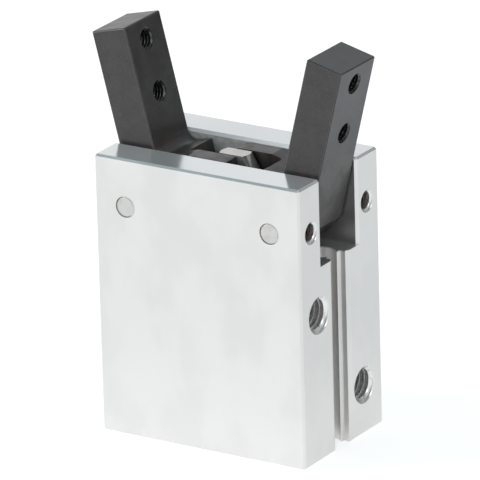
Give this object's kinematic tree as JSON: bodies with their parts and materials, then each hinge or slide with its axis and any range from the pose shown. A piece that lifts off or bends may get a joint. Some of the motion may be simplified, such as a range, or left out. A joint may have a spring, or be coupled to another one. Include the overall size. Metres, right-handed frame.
{
  "type": "pneumatic angular gripper",
  "caption": "Two-finger angular gripper: an air piston in an aluminium block swings two crossed steel levers on cross pins to close the fingers.",
  "frame": {"origin": "middle of the body's bottom face, where the gripper is bolted on", "axes": "+Z along the cylinder to the fingertips, +X to the side with the air ports, the plain front face at -Y"},
  "size_m": [0.0394, 0.0204, 0.0564],
  "materials": {
    "anodised_body": "clear anodised, satin",
    "finger_steel": "blackened, fine ground",
    "pin_steel": "ground",
    "screw_steel": "black oxide",
    "rod_steel": "milled and ground",
    "turned_aluminium": "turned",
    "bearing_bronze": "turned",
    "seal_rubber": "matt",
    "bumper_rubber": "matt",
    "magnet_plastic": "moulded",
    "spring_steel": "phosphated"
  },
  "bodies": {
    "housing": {"body": "anodised_body", "pivot_pin_left": "pin_steel", "pivot_pin_right": "pin_steel", "set_screw_left_front": "screw_steel", "set_screw_left_rear": "screw_steel", "set_screw_right_front": "screw_steel", "set_screw_right_rear": "screw_steel", "rod_guide": "bearing_bronze", "rod_seal": "seal_rubber", "upper_bumper": "bumper_rubber", "lower_bumper": "bumper_rubber", "end_cap": "turned_aluminium", "end_cap_gasket": "seal_rubber", "retaining_ring": "spring_steel"},
    "left_finger": {"finger_left": "finger_steel"},
    "right_finger": {"finger_right": "finger_steel"},
    "piston_and_rod": {"piston_rod": "rod_steel", "piston": "turned_aluminium", "piston_seal": "seal_rubber", "magnet_ring": "magnet_plastic", "piston_nut": "screw_steel", "centre_pin": "pin_steel"}
  },
  "joints": [
    {"name": "piston_slide", "type": "slide", "parent": "housing", "child": "piston_and_rod", "axis": [0, 0, 1], "range_m": [-0.00383, 0]},
    {"name": "left_finger_pivot", "type": "hinge", "parent": "housing", "child": "left_finger", "pos_m": [-0.0114, 0, 0.0331], "axis": [0, 1, 0], "range_deg": [0, 19]},
    {"name": "right_finger_pivot", "type": "hinge", "parent": "housing", "child": "right_finger", "pos_m": [0.0114, 0, 0.0331], "axis": [0, -1, 0], "range_deg": [0, 19]}
  ],
  "couplings": [
    {"joint": "left_finger_pivot", "follows": "piston_slide", "rad_per_m": -86.627},
    {"joint": "right_finger_pivot", "follows": "piston_slide", "rad_per_m": -86.627}
  ]
}
